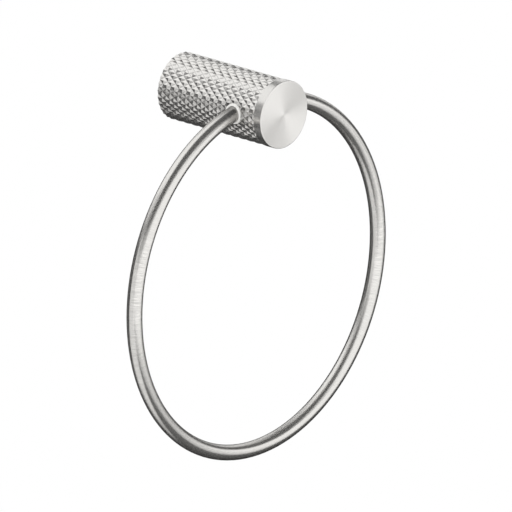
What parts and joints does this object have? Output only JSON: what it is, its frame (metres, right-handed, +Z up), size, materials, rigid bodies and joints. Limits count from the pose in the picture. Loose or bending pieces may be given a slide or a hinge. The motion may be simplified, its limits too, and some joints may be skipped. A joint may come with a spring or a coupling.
{
  "type": "towel ring",
  "caption": "Wall-mounted towel ring: a round bar bent to a circle hangs from a knurled round post with a plain flat face.",
  "frame": {"origin": "centre of the post's wall face, on the post's axis", "axes": "+Z up; +Y along the post's axis, into the wall; the ring's plane is parallel to the wall"},
  "size_m": [0.19, 0.07, 0.2015],
  "materials": {
    "knurled_metal": "satin",
    "brushed_bar": "brushed",
    "white_bush": "moulded nylon",
    "screw_steel": "satin",
    "boss_metal": "turned"
  },
  "bodies": {
    "root": {"post": "knurled_metal", "ring": "brushed_bar", "ferrule_left": "white_bush", "ferrule_right": "white_bush", "ring_set_screws": "screw_steel", "wall_boss": "boss_metal", "lock_screw": "screw_steel"}
  },
  "joints": []
}
